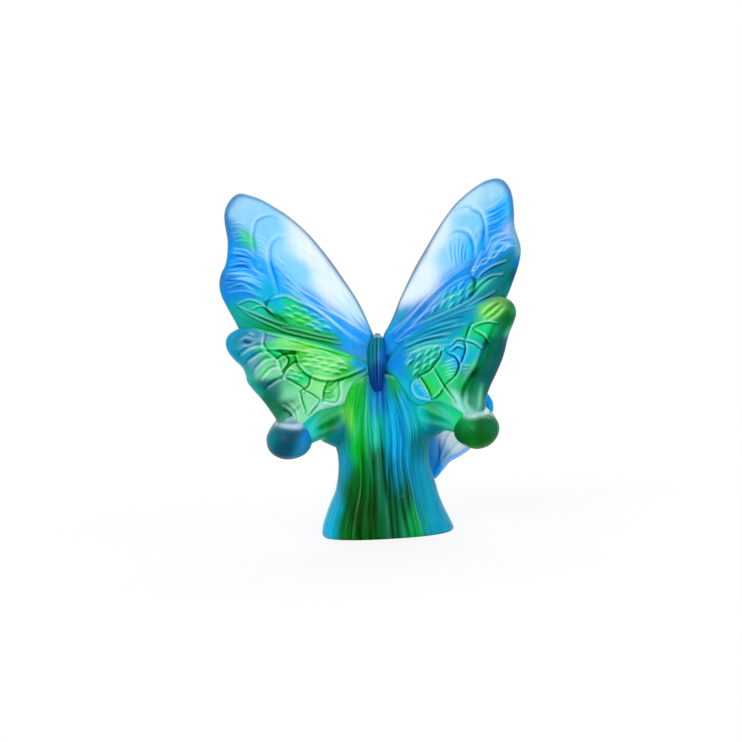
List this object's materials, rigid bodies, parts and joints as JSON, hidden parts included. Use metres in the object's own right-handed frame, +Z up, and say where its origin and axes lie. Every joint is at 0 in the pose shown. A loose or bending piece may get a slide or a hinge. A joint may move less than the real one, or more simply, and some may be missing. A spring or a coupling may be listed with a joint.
{
  "type": "butterfly ornament",
  "caption": "Cast glass butterfly with cupped, veined wings and curled tails ending in knobs, standing on a fluted, flared trunk with a flat foot.",
  "frame": {"origin": "middle of the trunk's flat foot, on the surface that it stands on", "axes": "+Z up, -Y towards the viewer that the cupped wings face, +X to that viewer's right"},
  "size_m": [0.1015, 0.0394, 0.1179],
  "materials": {
    "trunk_glass": "satin",
    "body_glass": "satin",
    "forewing_glass": "satin",
    "hindwing_glass": "satin",
    "arm_glass": "satin",
    "tail_glass": "satin",
    "leaf_glass": "satin"
  },
  "bodies": {
    "root": {"trunk": "trunk_glass", "body": "body_glass", "left_forewing": "forewing_glass", "right_forewing": "forewing_glass", "left_hindwing": "hindwing_glass", "right_hindwing": "hindwing_glass", "left_arm": "arm_glass", "right_arm": "arm_glass", "left_tail": "tail_glass", "right_tail": "tail_glass", "rear_leaf": "leaf_glass"}
  },
  "joints": []
}
